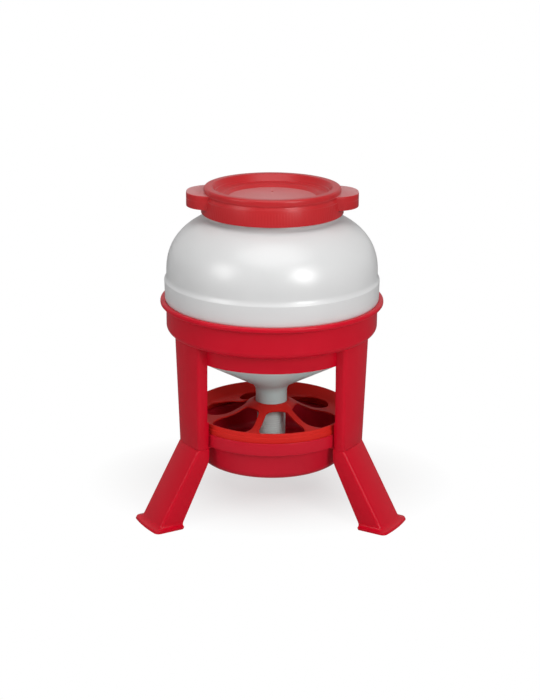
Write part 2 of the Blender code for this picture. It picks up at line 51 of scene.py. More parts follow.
SMOOTH_BELOW = math.radians(32.0)

# Gap between pieces that rest on each other, and rounding of a thin wall's free end
SEAT_GAP = 0.0003
THIN_END = 0.0009

# Holder
HOLDER_WALL = 0.003
RIM_TOP = 0.412
RIM_RADIUS = 0.210
RIM_DROP = 0.008
RIM_INNER_ROUND = 0.0012
RIM_OUTER_ROUND = 0.0032
RIM_UNDER_ROUND = 0.0030
RIM_STEP_IN = 0.0026
RIM_STEP_ROUND = 0.0022
WALL_RADIUS = 0.199
SEAT_FLARE_RADIUS = 0.2008
SEAT_FLARE_DROP = 0.009
SEAT_FLARE_ROUND = 0.006
LEDGE_BOTTOM = 0.3498
LEDGE_ROUND = 0.013
SKIRT_RADIUS_TOP = 0.171
SKIRT_RADIUS_LOW = 0.1693
SKIRT_LOW = 0.314
SKIRT_TOP_ROUND = 0.0025
SKIRT_END_ROUND = 0.0013
SKIRT_INNER_ROUND = 0.0014
LEG_AZIMUTHS = {"left": -60.0, "right": 60.0, "rear": 180.0}
UPRIGHT_LOW = 0.147
UPRIGHT_RADIUS = (0.1827, 0.1880)
UPRIGHT_HALF = (0.040, 0.048)
UPRIGHT_INNER = (0.160, 0.1625)
UPRIGHT_WALL = 0.003
UPRIGHT_CORNER = 0.007
UPRIGHT_LEVELS = (0.30, 0.25, 0.20)
UPRIGHT_END = ((0.0008, 0.0), (0.0002, 0.0002), (0.0, 0.0006))

# Channels: easing of the free edges, least rounding inside, and steps along corner and face
CHANNEL_EDGE = 0.0012
CHANNEL_EDGE_SHARE = 0.42
CHANNEL_EDGE_MIDDLE = 0.3
CHANNEL_CORNER_LEAST = 0.0012
CHANNEL_CORNER_STEPS = 8
CHANNEL_FACE_STEPS = 20

# Feet. The shoulder's rings differ by SHOULDER_SET_IN at their inner ends, so that no face there has zero
# width. The shelf is a little thinner than the wall, so that its underside isn't in the shoulder's plane
PLUG_TOP = 0.200
PLUG_INNER = 0.156
PLUG_FIT = 0.0004
PLUG_END = 0.0006
PLUG_LEVELS = (0.18, 0.16)
SHOULDER_END = 0.0005
SHOULDER_SET_IN = 0.0001
FOOT_WALL = 0.003
FOOT_BEND_LOW = 0.123
FOOT_BEND_SOFT = 0.010
FOOT_BEND_STEPS = 8
FOOT_BEND_STEP = 0.0042
FOOT_LEVELS = (0.105, 0.09, 0.075, 0.06, 0.045, 0.032, 0.022)
FOOT_SPLAY = math.radians(30.0)
FOOT_HALF_LOW = 0.039
FOOT_INNER_LOW = 0.217
FLANGE_REACH = 0.0093
FLANGE_CORNER = 0.010
FLANGE_THICK = 0.005
FLANGE_FLARE = 0.007
FLANGE_STEPS = 12
FLANGE_LEVELS = ((0.0046, 0.0), (0.0040, 0.0), (0.0012, 0.0), (0.0004, 0.0003), (0.0, 0.0012))
SHELF_THICK = 0.0029
SHELF_REACH = 0.149
SHELF_STEPS = 12

# Pan
PAN_WALL = 0.0025
BELT_RADIUS = 0.158
BELT_TOP = 0.175
BELT_LOW = 0.150
BELT_LOW_ROUND = 0.0022
BOWL_RADIUS_TOP = 0.147
BOWL_TOP_ROUND = 0.0016
BOWL_RADIUS_LOW = 0.141
BOWL_LOW = 0.096
BOWL_ROUND = 0.018
CONE_RADIUS = 0.048
CONE_RISE = 0.014
CONE_ROUND = 0.008

# Grille wheel, its dish given as radius, height and rounding
GRILLE_WALL = 0.0025
HUB_TOP = 0.207
HUB_RADIUS = 0.035
HUB_HOLE = 0.0306
HUB_ROUND = 0.003
DISH_SLOPE = (0.060, 0.1925, 0.010)
DISH_WAIST = (0.082, 0.1815, 0.080)
DISH_FOOT = (0.130, 0.1740, 0.018)
GRILLE_RIM_INNER = 0.1495
GRILLE_RIM_TOP = 0.1925
GRILLE_RIM_STEP = 0.184
GRILLE_RIM_RADIUS = 0.155
GRILLE_RIM_ROUND = 0.0030
GRILLE_STEP_IN = 0.0012
GRILLE_STEP_ROUND = 0.0008
PETAL_COUNT = 6
PETAL_INNER = 0.050
PETAL_OUTER = 0.131
PETAL_TURN = math.radians(-18.0)
SPOKE_WIDTH = 0.0135
PETAL_ROUND_OUTER = 0.034
PETAL_ROUND_INNER = 0.010
PETAL_CUT = (0.14, 0.24)
PETAL_EDGE = 0.0008
PETAL_EDGE_STEPS = 3
PETAL_EDGE_ANGLE = math.radians(50.0)

# Hopper and regulator tube
HOPPER_WALL = 0.0024
NECK_RADIUS = 0.120
NECK_BLEND = 0.011
NECK_FOOT = 0.006
DOME_START = 0.133
DOME_RADIUS = 0.198
DOME_SPAN = 0.162
DOME_CENTRE = 0.4645
DOME_RISE = 0.1155
DOME_POWER = 2.3
DOME_STEPS = 48
BAND_TOP = 0.4565
BAND_SHOULDER = 0.4500
BAND_RADIUS = 0.202
BAND_TOP_ROUND = 0.016
BAND_SHOULDER_ROUND = 0.003
BAND_LOW_ROUND = 0.0015
BAND_DRAFT = 0.0008
BAND_CLEAR = 0.002
SPIGOT_ROUND = 0.001
FUNNEL_ROUND = 0.005
FUNNEL_SLOPE = math.radians(29.0)
FUNNEL_APEX = 0.2215
SPOUT_RADIUS = 0.030
SPOUT_LOW = 0.198
SPOUT_BLEND = 0.020
TUBE_WALL = 0.0024
TUBE_TOP = 0.226
TUBE_LOW = 0.119
TUBE_EDGE = 0.001
TUBE_ROW = 0.0006
TUBE_STEPS = 128
THREAD_PITCH = 0.0045
THREAD_SPAN = (0.128, 0.184)
THREAD_DEPTH = 0.0005
THREAD_FADE = 0.003
THREAD_NARROW = 0.6

# Lid
LID_WALL = 0.0028
LID_TOP = 0.6245
LID_LIP_RADIUS = 0.1272
LID_LIP_INNER = 0.1115
LID_LIP_ROUND = 0.0045
LID_LIP_INNER_ROUND = 0.0034
LID_BEAD_HEIGHT = 0.003
LID_BEAD_ROUND = 0.0018
LID_GROOVE_RADIUS = 0.1260
LID_GROOVE = 0.6110
LID_GROOVE_ROUND = 0.0024
LID_SHOULDER_RADIUS = 0.1285
LID_SHOULDER = 0.6060
LID_SHOULDER_ROUND = 0.0026
LID_SKIRT_RADIUS = 0.1325
LID_SKIRT_LOW = 0.5764
LID_SKIRT_END = 0.0011
LID_STEP_RADIUS = 0.104
LID_STEP = 0.6110
LID_STEP_ROUND = 0.004
LID_DISH_RADIUS = 0.081
LID_DISH = 0.6042
LID_DISH_ROUND = 0.0035
LID_DISH_SLOPE = 0.008
LID_DISH_RIM_DROP = 0.001
EAR_REACH = 0.1595
EAR_HALF = 0.053
EAR_TOP = 0.6150
EAR_LOW = 0.5890
EAR_ROUND = 0.046
EAR_ROOT = 0.070
EAR_WALL = 0.003
EAR_EDGE = 0.0018
EAR_EDGE_STEPS = 6
EAR_FOOT = ((0.0, 0.6), (0.25, 0.2), (0.7, 0.0))
POCKET_OVERLAP = 0.006
POCKET_BELOW = 0.01
BORE_PAST = 0.02

# Floor: its grey, the share of plain white in the shadow, where the shadow fades, and the level at which the
# glossy plastic mirrors it
FLOOR_REACH = 30.0
FLOOR_GREY = 0.80
FLOOR_LIFT = 0.60
SHADOW_CENTRE = (0.0, 0.10, 0.0)
SHADOW_OVAL = (0.75, 1.0, 1.0)
SHADOW_FADE = (0.07, 0.28)
FLOOR_MIRRORED = 0.16

# Plastics: base colour, second tone of the pigment and rubbed colour of each
RED = ((0.610, 0.0020, 0.018), (0.575, 0.0018, 0.016), (0.66, 0.030, 0.050))
PAN_RED = ((0.600, 0.008, 0.026), (0.560, 0.007, 0.024), (0.62, 0.036, 0.055))
GRILLE_RED = ((0.660, 0.022, 0.016), (0.620, 0.018, 0.014), (0.70, 0.055, 0.045))
LID_RED = ((0.530, 0.020, 0.024), (0.495, 0.017, 0.021), (0.57, 0.050, 0.052))
# The tube's white holds a painted blue-green tint that cancels the red light that the stand bounces onto it
TUBE_PAINTED_COOL_WHITE = ((0.720, 0.845, 0.820), (0.685, 0.810, 0.785), (0.82, 0.93, 0.91))
HOPPER_WHITE = ((0.745, 0.747, 0.747), (0.728, 0.731, 0.731), (0.78, 0.78, 0.78))

# Noises, as scale, detail and roughness, and the pointed edges that wear
PIGMENT_NOISE = (9.0, 2.0)
GLOSS_NOISE = (32.0, 3.0, 0.55)
GRAIN_NOISE = (1100.0, 2.0)
SINK_NOISE = (16.0, 1.0)
WORN_NOISE = (60.0, 3.0, 0.6)
POINTED = (0.57, 0.68)

# Roughness varies round its middle. It stays above 0.28, because lower down the noise filter draws patches
GLOSS_SPREAD = (-0.025, 0.030)
WORN_SHARE = 0.5
WORN_ROUGHNESS = 0.12
PLASTIC_IOR = 1.49
GRAIN = 0.000014
HOPPER_GRAIN = 0.000005
SINK_MARKS = 0.0004
BUMP_STRENGTH = 0.6

# The funnel's painted cooler white, which cancels the red light that the stand bounces onto it, the heights
# between which it comes in, and the light that goes into the hopper's wall
FUNNEL_PAINTED_COOL_WHITE = (0.63, 0.88, 0.86)
FUNNEL_FADE = (0.300, 0.345)
HOPPER_GLOW = 0.15
HOPPER_GLOW_DEPTH = 0.012

# Grip ribs round the lid's skirt, and strength of the matt texture on the lid's flats
RIB_TURN = 150.0
RIB_DEPTH = 0.00010
RIB_FADE_LOW = (0.002, 0.004)
RIB_FADE_HIGH = (0.006, 0.003)
RIB_INNER_FADE = (0.1262, 0.1270)
RIB_OUTER_FADE = (0.1330, 0.1340)
LID_MATT = 0.5
LID_MATT_FADE = (0.00025, 0.0007)
LID_MATT_ROUGHNESS = 0.42

# Mark of the moulding gate on the lid's dish, turned by half a step so that no corner of it lies on an edge
GATE_BACK = 0.045
GATE_RADIUS = 0.0022
GATE_RISE = 0.0007
GATE_SINK = 0.001
GATE_STEPS = 32

# Backdrop's light from the front and from behind, where the one fades into the other, and the lamps: name,
# place, aim, width, height and watts
BACKDROP_LIGHT = (0.20, 0.52)
BACKDROP_FADE = (-0.2, 0.95)
LAMPS = (
    ("overhead_softbox", (0.0, -0.9, 2.8), (0.0, 0.0, 0.5), 2.6, 2.6, 33.0),
    ("key_right", (1.355, -1.98, 1.407), (0.0, 0.0, 0.48), 0.90, 1.25, 27.0),
    ("fill_left", (-1.639, -1.191, 1.30), (0.0, 0.0, 0.48), 0.95, 1.10, 9.8),
)

# Camera, in metres, millimetres and radians
CAMERA_PLACE = (-0.00305, -2.94, 1.2567)
CAMERA_LENS = 83.38
CAMERA_SENSOR = 36.0
CAMERA_DOWN = math.radians(17.92)
CAMERA_ROLL = math.radians(0.29)


# Outlines

def rounded(corners, loop=False):
    """Points along (u, v, radius) corners with each corner rounded by a true arc."""
    count = len(corners)
    points = []
    for i, corner in enumerate(corners):
        here = Vector(corner[:2])
        end = not loop and i in (0, count - 1)
        if end or corner[2] <= 0.0:
            points.append(here)
            continue
        back = Vector(corners[i - 1][:2]) - here
        ahead = Vector(corners[(i + 1) % count][:2]) - here
        half = back.angle(ahead) / 2.0
        if half > NEARLY_STRAIGHT:
            points.append(here)
            continue
        tangent = min(corner[2] / math.tan(half), CORNER_SHARE * min(back.length, ahead.length))
        radius = tangent * math.tan(half)
        middle = here + (back.normalized() + ahead.normalized()).normalized() * (radius / math.sin(half))
        start = here + back.normalized() * tangent - middle
        finish = here + ahead.normalized() * tangent - middle
        sweep = start.angle_signed(finish)
        steps = min(ARC_STEPS_MOST, max(ARC_STEPS_LEAST, math.ceil(abs(sweep) * radius / ARC_STEP)))
        for step in range(steps + 1):
            points.append(middle + Matrix.Rotation(-sweep * step / steps, 2) @ start)
    return points


def shell(corners, wall, lip):
    """Closed loop round a wall whose outer side is given, its free ends eased by the lip radius."""
    spots = [Vector(c[:2]) for c in corners]
    ways = [(b - a).normalized() for a, b in zip(spots, spots[1:])]
    inner = []
    for i, spot in enumerate(spots):
        before = ways[max(i - 1, 0)]
        after = ways[min(i, len(ways) - 1)]
        aside = Vector((before.y, -before.x)) + Vector((after.y, -after.x))
        aside.normalize()
        reach = wall / max(MITRE_LEAST, aside.dot(Vector((after.y, -after.x))))
        moved = spot + aside * reach
        if abs(spot.x) < ON_AXIS:
            way = before if i else after
            moved = moved - way * (moved.x / way.x)
        turn = before.x * after.y - before.y * after.x
        radius = corners[i][2]
        if radius > 0.0:
            radius = max(ROUND_LEAST, radius + (wall if turn > 0.0 else -wall))
        inner.append((moved.x, moved.y, radius))
    outer = [tuple(c) for c in corners]
    for line in (outer, inner):
        for end in (0, -1):
            if abs(line[end][0]) > ON_AXIS:
                line[end] = (line[end][0], line[end][1], lip)
    return rounded(outer + inner[::-1], loop=True)


def mesh_object(name, verts, faces):
    """New mesh object in the scene."""
    mesh = bpy.data.meshes.new(name)
    mesh.from_pydata(verts, [], faces)
    mesh.validate()
    obj = bpy.data.objects.new(name, mesh)
    bpy.context.scene.collection.objects.link(obj)
    return obj


def turned(name, loop, steps=TURN_STEPS):
    """Turn a closed (r, z) loop about the axis. The loop runs down its outer side."""
    verts = []
    rings = []
    for point in loop:
        if abs(point[0]) < ON_AXIS:
            rings.append([len(verts)] * steps)
            verts.append((0.0, 0.0, point[1]))
            continue
        rings.append(list(range(len(verts), len(verts) + steps)))
        for step in range(steps):
            angle = 2.0 * math.pi * step / steps
            verts.append((point[0] * math.cos(angle), point[0] * math.sin(angle), point[1]))
    faces = []
    for ring, following in zip(rings, rings[1:] + rings[:1]):
        if ring[0] == ring[1] and following[0] == following[1]:
            continue
        for step in range(steps):
            ahead = (step + 1) % steps
            quad = [ring[step], following[step], following[ahead], ring[ahead]]
            faces.append(tuple(dict.fromkeys(quad)))
    return mesh_object(name, verts, faces)


def arc(radius, start, end, steps, middle=(0.0, 0.0)):
    """Points along an arc, both ends included."""
    angles = [start + (end - start) * step / steps for step in range(steps + 1)]
    return [Vector((middle[0] + radius * math.cos(a), middle[1] + radius * math.sin(a))) for a in angles]


# Mesh helpers

def apply_modifiers(obj):
    """Turn what the modifiers make into the object's own mesh."""
    graph = bpy.context.evaluated_depsgraph_get()
    mesh = bpy.data.meshes.new_from_object(obj.evaluated_get(graph))
    old = obj.data
    obj.modifiers.clear()
    obj.data = mesh
    bpy.data.meshes.remove(old)
    mesh.name = obj.name
    return obj


def combine(obj, tool, operation):
    """Add or cut away the tool, which is used up."""
    cut = obj.modifiers.new(operation.lower(), "BOOLEAN")
    cut.operation = operation
    cut.solver = "EXACT"
    cut.object = tool
    apply_modifiers(obj)
    bpy.data.objects.remove(tool, do_unlink=True)
    return obj


def outward(obj):
    """Turn all faces outward."""
    form = bmesh.new()
    form.from_mesh(obj.data)
    bmesh.ops.recalc_face_normals(form, faces=form.faces)
    form.to_mesh(obj.data)
    form.free()
    return obj


def loft(name, sections):
    """Closed solid through sections, each a list of as many (x, y, z) points, capped at both ends."""
    size = len(sections[0])
    verts = [tuple(p) for section in sections for p in section]
    faces = []
    for level in range(len(sections) - 1):
        low, high = level * size, (level + 1) * size
        for i in range(size):
            j = (i + 1) % size
            faces.append((low + i, low + j, high + j, high + i))
    faces.append(tuple(range(size)))
    faces.append(tuple(reversed(range(len(verts) - size, len(verts)))))
    return outward(mesh_object(name, verts, faces))


def place(obj, azimuth):
    """Turn a part drawn along +X to its azimuth, where 0 is the front."""
    obj.data.transform(Matrix.Rotation(math.radians(azimuth) - math.pi / 2.0, 4, "Z"))
    return obj


# Channels

def channel_section(z, radius, half, inner, corner, wall, reach=0.0, ease=0.0):
    """Closed plan of a channel wall at one height, its two free edges eased."""
    outer_corner = corner + (FLANGE_CORNER - UPRIGHT_CORNER) * reach / FLANGE_REACH

    def side(face, width, bend):
        bend = min(bend, 0.9 * width)
        middle = Vector((math.sqrt((face - bend) ** 2 - (width - bend) ** 2), width - bend))
        turn = math.atan2(middle.y, middle.x)
        upper = arc(bend, math.pi / 2.0, turn, CHANNEL_CORNER_STEPS, middle)
        across = arc(face, turn, -turn, CHANNEL_FACE_STEPS)[1:-1]
        lower = [Vector((p.x, -p.y)) for p in reversed(upper)]
        return upper + across + lower

    outside = side(radius + reach - ease, half + reach - ease, outer_corner)
    inside = side(radius - wall + ease, half - wall + ease, max(corner - wall, CHANNEL_CORNER_LEAST))
    edge = min(CHANNEL_EDGE, CHANNEL_EDGE_SHARE * (wall - 2.0 * ease))
    start = inner + ease
    top = half + reach - ease
    low = half - wall + ease
    part = CHANNEL_EDGE_MIDDLE * edge
    upper_edge = [Vector(p) for p in ((start + edge, low), (start + part, low + part), (start, low + edge),
                                      (start, top - edge), (start + part, top - part), (start + edge, top))]
    lower_edge = [Vector((p.x, -p.y)) for p in reversed(upper_edge)]
    plan = upper_edge + outside + lower_edge + inside[::-1]
    return [(p.x, p.y, z) for p in plan]


def upright_at(z):
    """Outer radius, half width and inner end of an upright at a height, each given low and high."""
    share = (z - UPRIGHT_LOW) / (LEDGE_BOTTOM - UPRIGHT_LOW)
    return [low + (high - low) * share for low, high in (UPRIGHT_RADIUS, UPRIGHT_HALF, UPRIGHT_INNER)]


def make_upright(side):
    """Channel from the holder's ledge down to the foot."""
    top = LEDGE_BOTTOM + HOLDER_WALL / 2.0
    levels = [(z, 0.0) for z in (top, *UPRIGHT_LEVELS)]
    levels += [(UPRIGHT_LOW + rise, ease) for rise, ease in UPRIGHT_END]
    sections = [channel_section(z, *upright_at(z), UPRIGHT_CORNER, UPRIGHT_WALL, 0.0, ease)
                for z, ease in levels]
    return loft("upright_" + side, sections)


def make_holder():
    """Ring with rim, wall, ledge and skirt, and its three uprights, in one moulding."""
    rim_low = RIM_TOP - RIM_DROP
    inner_wall = WALL_RADIUS - HOLDER_WALL
    ledge_top = LEDGE_BOTTOM + HOLDER_WALL
    loop = rounded([
        (SEAT_FLARE_RADIUS, RIM_TOP, RIM_INNER_ROUND),
        (RIM_RADIUS, RIM_TOP, RIM_OUTER_ROUND),
        (RIM_RADIUS, rim_low, RIM_UNDER_ROUND),
        (WALL_RADIUS, rim_low - RIM_STEP_IN, RIM_STEP_ROUND),
        (WALL_RADIUS, LEDGE_BOTTOM, LEDGE_ROUND),
        (SKIRT_RADIUS_TOP, LEDGE_BOTTOM, SKIRT_TOP_ROUND),
        (SKIRT_RADIUS_LOW, SKIRT_LOW, SKIRT_END_ROUND),
        (SKIRT_RADIUS_LOW - HOLDER_WALL, SKIRT_LOW, SKIRT_END_ROUND),
        (SKIRT_RADIUS_TOP - HOLDER_WALL, ledge_top, SKIRT_INNER_ROUND),
        (inner_wall, ledge_top, LEDGE_ROUND - HOLDER_WALL),
        (inner_wall, RIM_TOP - SEAT_FLARE_DROP, SEAT_FLARE_ROUND),
    ], loop=True)
    ring = turned("holder_ring", loop)
    for side, azimuth in LEG_AZIMUTHS.items():
        combine(ring, place(make_upright(side), azimuth), "UNION")
    ring.name = "holder_moulding"
    return ring


def make_foot(side):
    """Splayed channel with a plug that stands in the upright, a floor flange and a shelf for the pan."""
    inset = UPRIGHT_WALL + PLUG_FIT
    shoulder = UPRIGHT_LOW - SEAT_GAP
    radius, half, _ = upright_at(UPRIGHT_LOW)
    plug_wall = inset + FOOT_WALL

    def plug(z, outer, width, ease=0.0):
        return channel_section(
            z, outer - inset, width - inset, PLUG_INNER, UPRIGHT_CORNER - inset, FOOT_WALL, ease=ease)

    def splayed(z, reach):
        drop = shoulder - z
        outer = radius + drop * math.tan(FOOT_SPLAY)
        width = half + (FOOT_HALF_LOW - half) * drop / shoulder
        below = FOOT_BEND_LOW - z
        soft = FOOT_BEND_SOFT
        run = below if below > soft else max(0.0, below + soft) ** 2 / (4.0 * soft)
        inner = PLUG_INNER + (FOOT_INNER_LOW - PLUG_INNER) * run / FOOT_BEND_LOW
        wall = FOOT_WALL + (plug_wall - FOOT_WALL) * max(0.0, 1.0 - drop / (shoulder - FOOT_BEND_LOW))
        return channel_section(z, outer, width, inner, UPRIGHT_CORNER, wall, reach)

    sections = []
    plug_levels = [(PLUG_TOP, PLUG_END)] + [(z, 0.0) for z in (PLUG_TOP - PLUG_END, *PLUG_LEVELS)]
    for z, ease in plug_levels:
        sections.append(plug(z, *upright_at(z)[:2], ease))
    sections.append(plug(shoulder, radius, half))
    for drop, set_in in ((0.0, 2.0 * SHOULDER_SET_IN), (SHOULDER_END, SHOULDER_SET_IN)):
        trim = SHOULDER_END - drop
        inner = PLUG_INNER + set_in
        sections.append(channel_section(
            shoulder - drop, radius - trim, half - trim, inner, UPRIGHT_CORNER, plug_wall - trim))
    for step in range(1, FOOT_BEND_STEPS + 1):
        sections.append(splayed(shoulder - SHOULDER_END - FOOT_BEND_STEP * step, 0.0))
    for z in FOOT_LEVELS:
        sections.append(splayed(z, 0.0))
    for step in range(FLANGE_STEPS):
        share = step / FLANGE_STEPS
        sections.append(splayed(FLANGE_THICK + FLANGE_FLARE * (1.0 - share) ** 2, FLANGE_REACH * share ** 2))
    for z, back in FLANGE_LEVELS:
        sections.append(splayed(z, FLANGE_REACH - back))
    foot = place(loft("foot_moulding_" + side, sections), LEG_AZIMUTHS[side])

    shelf_top = BELT_LOW - SEAT_GAP
    half_in = half - inset - FOOT_WALL / 2.0
    back = radius - inset - FOOT_WALL / 2.0
    near = math.asin(half_in / SHELF_REACH)
    far = math.asin(half_in / back)
    outline = arc(SHELF_REACH, near, -near, SHELF_STEPS) + arc(back, -far, far, SHELF_STEPS)
    levels = (shelf_top - SHELF_THICK, shelf_top)
    shelf = loft("shelf_" + side, [[(p.x, p.y, z) for p in outline] for z in levels])
    return combine(foot, place(shelf, LEG_AZIMUTHS[side]), "UNION")


def make_pan():
    """Upright belt, bowl and low cone in one wall."""
    loop = shell([
        (BELT_RADIUS, BELT_TOP, 0.0),
        (BELT_RADIUS, BELT_LOW, BELT_LOW_ROUND),
        (BOWL_RADIUS_TOP, BELT_LOW, BOWL_TOP_ROUND),
        (BOWL_RADIUS_LOW, BOWL_LOW, BOWL_ROUND),
        (CONE_RADIUS, BOWL_LOW, CONE_ROUND),
        (0.0, BOWL_LOW + CONE_RISE, 0.0),
    ], PAN_WALL, THIN_END)
    return turned("pan_moulding", loop)


def petal():
    """Plan of one petal opening between two spokes."""
    half_pitch = math.pi / PETAL_COUNT
    spoke_shift = (SPOKE_WIDTH / 2.0) / math.cos(half_pitch)

    def half_width(along):
        return along * math.tan(half_pitch) - spoke_shift

    inner = PETAL_INNER * math.cos(half_pitch) + SPOKE_WIDTH / 4.0
    return rounded([
        (PETAL_OUTER, half_width(PETAL_OUTER), PETAL_ROUND_OUTER),
        (inner, half_width(inner), PETAL_ROUND_INNER),
        (inner, -half_width(inner), PETAL_ROUND_INNER),
        (PETAL_OUTER, -half_width(PETAL_OUTER), PETAL_ROUND_OUTER),
    ], loop=True)


def make_grille():
    """Dished wheel with a raised rim, six petals cut through it and every cut edge eased."""
    rim_wall = GRILLE_RIM_RADIUS - GRILLE_STEP_IN
    loop = shell([
        (HUB_HOLE, HUB_TOP, 0.0),
        (HUB_RADIUS, HUB_TOP, HUB_ROUND),
        DISH_SLOPE,
        DISH_WAIST,
        DISH_FOOT,
        (GRILLE_RIM_INNER, GRILLE_RIM_TOP, GRILLE_RIM_ROUND),
        (rim_wall, GRILLE_RIM_TOP, GRILLE_RIM_ROUND),
        (rim_wall, GRILLE_RIM_STEP + GRILLE_STEP_IN, GRILLE_STEP_ROUND),
        (GRILLE_RIM_RADIUS, GRILLE_RIM_STEP, GRILLE_STEP_ROUND),
        (GRILLE_RIM_RADIUS, BELT_LOW + PAN_WALL + SEAT_GAP, 0.0),
    ], GRILLE_WALL, THIN_END)
    grille = turned("grille_moulding", loop)
    outline = petal()
    for number in range(PETAL_COUNT):
        cutter = loft("petal", [[(p.x, p.y, z) for p in outline] for z in PETAL_CUT])
        cutter.data.transform(Matrix.Rotation(PETAL_TURN + number * 2.0 * math.pi / PETAL_COUNT, 4, "Z"))
        combine(grille, cutter, "DIFFERENCE")
    bevel = grille.modifiers.new("soft_edges", "BEVEL")
    bevel.width = PETAL_EDGE
    bevel.segments = PETAL_EDGE_STEPS
    bevel.limit_method = "ANGLE"
    bevel.angle_limit = PETAL_EDGE_ANGLE
    bevel.use_clamp_overlap = True
    return apply_modifiers(grille)


def dome_outline(steps):
    """Shoulder of the hopper: a flattened quarter oval from neck to band."""
    core = DOME_RADIUS - DOME_SPAN
    power = 2.0 / DOME_POWER
    start = math.acos(((DOME_START - core) / DOME_SPAN) ** (1.0 / power))
    points = []
    for step in range(steps + 1):
        angle = start * (1.0 - step / steps)
        across = DOME_SPAN * math.cos(angle) ** power
        points.append((core + across, DOME_CENTRE + DOME_RISE * math.sin(angle) ** power, 0.0))
    return points


def make_hopper():
    """Blow-moulded body in one wall: neck, dome, belly band, seat in the holder, funnel and spout."""
    neck_top = LID_TOP - LID_WALL - SEAT_GAP
    dome = dome_outline(DOME_STEPS)
    seat_radius = WALL_RADIUS - HOLDER_WALL
    body_radius = seat_radius - SEAT_GAP
    flare = Vector((SEAT_FLARE_DROP, SEAT_FLARE_RADIUS - seat_radius)).normalized() * SEAT_GAP
    ledge = LEDGE_BOTTOM + HOLDER_WALL + SEAT_GAP
    spigot_top = SKIRT_RADIUS_TOP - HOLDER_WALL - 2.0 * SEAT_GAP
    spigot_low = SKIRT_RADIUS_LOW - HOLDER_WALL - 2.0 * SEAT_GAP
    corners = [(NECK_RADIUS, neck_top, 0.0), (NECK_RADIUS, dome[0][1] + NECK_FOOT, NECK_BLEND)]
    corners += dome
    corners += [
        (DOME_RADIUS, BAND_TOP, BAND_TOP_ROUND),
        (BAND_RADIUS, BAND_SHOULDER, BAND_SHOULDER_ROUND),
        (BAND_RADIUS - BAND_DRAFT, RIM_TOP + BAND_CLEAR, BAND_LOW_ROUND),
        (SEAT_FLARE_RADIUS - flare.x, RIM_TOP + flare.y, RIM_INNER_ROUND),
        (body_radius, RIM_TOP - SEAT_FLARE_DROP, SEAT_FLARE_ROUND),
        (body_radius, ledge, LEDGE_ROUND - HOLDER_WALL - SEAT_GAP),
        (spigot_top, ledge, SPIGOT_ROUND),
        (spigot_low, FUNNEL_APEX + spigot_low * math.tan(FUNNEL_SLOPE), FUNNEL_ROUND),
        (SPOUT_RADIUS, FUNNEL_APEX + SPOUT_RADIUS * math.tan(FUNNEL_SLOPE), SPOUT_BLEND),
        (SPOUT_RADIUS, SPOUT_LOW, 0.0),
    ]
    return turned("hopper_moulding", shell(corners, HOPPER_WALL, THIN_END))


def make_regulator():
    """Tube with the shallow thread that sets its height in the spout."""
    outer = SPOUT_RADIUS - HOPPER_WALL - SEAT_GAP
    inner = outer - TUBE_WALL
    rows = int((TUBE_TOP - TUBE_LOW) / TUBE_ROW)
    span = TUBE_TOP - TUBE_LOW - 2.0 * TUBE_EDGE
    loop = [(inner, TUBE_TOP), (outer - TUBE_EDGE, TUBE_TOP)]
    loop += [(outer, TUBE_TOP - TUBE_EDGE - span * row / rows) for row in range(rows + 1)]
    loop += [(outer - TUBE_EDGE, TUBE_LOW), (inner, TUBE_LOW)]
    tube = turned("regulator_tube_moulding", loop, steps=TUBE_STEPS)
    low, high = THREAD_SPAN
    for vert in tube.data.vertices:
        spot = vert.co
        reach = math.hypot(spot.x, spot.y)
        if reach < outer - TUBE_EDGE / 10.0 or not low < spot.z < high:
            continue
        turn = (spot.z / THREAD_PITCH - math.atan2(spot.y, spot.x) / (2.0 * math.pi)) % 1.0
        fade = min(1.0, (spot.z - low) / THREAD_FADE, (high - spot.z) / THREAD_FADE)
        wave = math.cos((turn - 0.5) * 2.0 * math.pi)
        groove = THREAD_DEPTH * fade * max(0.0, wave * (1.0 + THREAD_NARROW) - THREAD_NARROW)
        spot.x *= 1.0 - groove / reach
        spot.y *= 1.0 - groove / reach
    return tube


def ear_plan(inset):
    """Plan of the right ear, from inside the lid's wall to its rounded end."""
    corner = EAR_ROUND - inset
    reach, half = EAR_REACH - inset, EAR_HALF - inset
    return rounded([(EAR_ROOT, -half, 0.0), (reach, -half, corner), (reach, half, corner),
                    (EAR_ROOT, half, 0.0)], loop=True)


def make_ear(turn):
    """Ear with eased edges, hollow from below and cut away inside the lid's wall."""
    root = LID_GROOVE_RADIUS - LID_WALL / 2.0
    levels = [(EAR_LOW + EAR_EDGE * rise, EAR_EDGE * inset) for rise, inset in EAR_FOOT]
    for step in range(EAR_EDGE_STEPS + 1):
        angle = math.pi / 2.0 * step / EAR_EDGE_STEPS
        levels.append((EAR_TOP - EAR_EDGE * (1.0 - math.sin(angle)), EAR_EDGE * (1.0 - math.cos(angle))))
    ear = loft("ear", [[(p.x, p.y, z) for p in ear_plan(inset)] for z, inset in levels])
    plan = ear_plan(EAR_WALL)
    inmost = min(p.x for p in plan)
    plan = [(p.x - POCKET_OVERLAP if p.x == inmost else p.x, p.y) for p in plan]
    heights = (EAR_LOW - POCKET_BELOW, EAR_TOP - EAR_WALL)
    pocket = loft("pocket", [[(x, y, z) for x, y in plan] for z in heights])
    top, low = EAR_TOP + BORE_PAST, EAR_LOW - BORE_PAST
    bore = turned("bore", [(0.0, top), (root, top), (root, low), (0.0, low)])
    for piece in (ear, pocket):
        piece.data.transform(Matrix.Rotation(turn, 4, "Z"))
    combine(ear, pocket, "DIFFERENCE")
    return combine(ear, bore, "DIFFERENCE")


